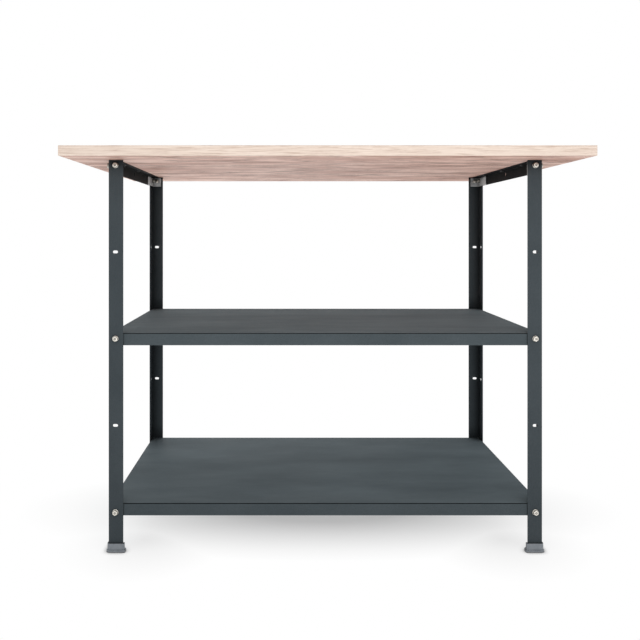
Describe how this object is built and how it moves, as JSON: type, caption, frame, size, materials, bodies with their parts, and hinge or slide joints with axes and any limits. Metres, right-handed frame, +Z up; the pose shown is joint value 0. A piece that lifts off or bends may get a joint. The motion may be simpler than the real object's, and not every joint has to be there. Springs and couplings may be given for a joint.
{
  "type": "assembly table",
  "caption": "Workshop assembly table: laminated board top with overhangs on a bolted slotted-angle steel frame, with folded steel tray shelves and plastic feet.",
  "frame": {"origin": "on the floor, under the middle of the table top", "axes": "+Z up, +X along the table's width, the front faces -Y"},
  "size_m": [1.175, 0.735, 0.926],
  "materials": {
    "powder_coat": "satin anthracite powder coat",
    "laminate": "oak-look melamine laminate on chipboard",
    "edge_band": "pale oak-look plastic edge band",
    "zinc": "bright zinc plate",
    "galvanised": "galvanised sheet",
    "foot_plastic": "moulded grey plastic"
  },
  "bodies": {
    "root": {"table_top_board": "laminate", "edge_band_front": "edge_band", "edge_band_rear": "edge_band", "edge_band_left": "edge_band", "edge_band_right": "edge_band", "side_rail_left": "powder_coat", "side_rail_right": "powder_coat", "middle_shelf": "powder_coat", "lower_shelf": "powder_coat", "upright_front_left": "powder_coat", "foot_front_left": "foot_plastic", "corner_bracket_front_left": "galvanised", "upright_front_right": "powder_coat", "foot_front_right": "foot_plastic", "corner_bracket_front_right": "galvanised", "upright_rear_left": "powder_coat", "foot_rear_left": "foot_plastic", "corner_bracket_rear_left": "galvanised", "upright_rear_right": "powder_coat", "foot_rear_right": "foot_plastic", "corner_bracket_rear_right": "galvanised", "bracket_bolt_front_left": "zinc", "bracket_nut_front_left": "zinc", "middle_shelf_bolt_front_left": "zinc", "middle_shelf_nut_front_left": "zinc", "lower_shelf_bolt_front_left": "zinc", "lower_shelf_nut_front_left": "zinc", "rail_bolt_front_left": "zinc", "rail_nut_front_left": "zinc", "bracket_bolt_front_right": "zinc", "bracket_nut_front_right": "zinc", "middle_shelf_bolt_front_right": "zinc", "middle_shelf_nut_front_right": "zinc", "lower_shelf_bolt_front_right": "zinc", "lower_shelf_nut_front_right": "zinc", "rail_bolt_front_right": "zinc", "rail_nut_front_right": "zinc", "bracket_bolt_rear_left": "zinc", "bracket_nut_rear_left": "zinc", "middle_shelf_bolt_rear_left": "zinc", "middle_shelf_nut_rear_left": "zinc", "lower_shelf_bolt_rear_left": "zinc", "lower_shelf_nut_rear_left": "zinc", "rail_bolt_rear_left": "zinc", "rail_nut_rear_left": "zinc", "bracket_bolt_rear_right": "zinc", "bracket_nut_rear_right": "zinc", "middle_shelf_bolt_rear_right": "zinc", "middle_shelf_nut_rear_right": "zinc", "lower_shelf_bolt_rear_right": "zinc", "lower_shelf_nut_rear_right": "zinc", "rail_bolt_rear_right": "zinc", "rail_nut_rear_right": "zinc", "top_screw_left_front": "zinc", "top_screw_left_middle": "zinc", "top_screw_left_rear": "zinc", "top_screw_right_front": "zinc", "top_screw_right_middle": "zinc", "top_screw_right_rear": "zinc"}
  },
  "joints": []
}
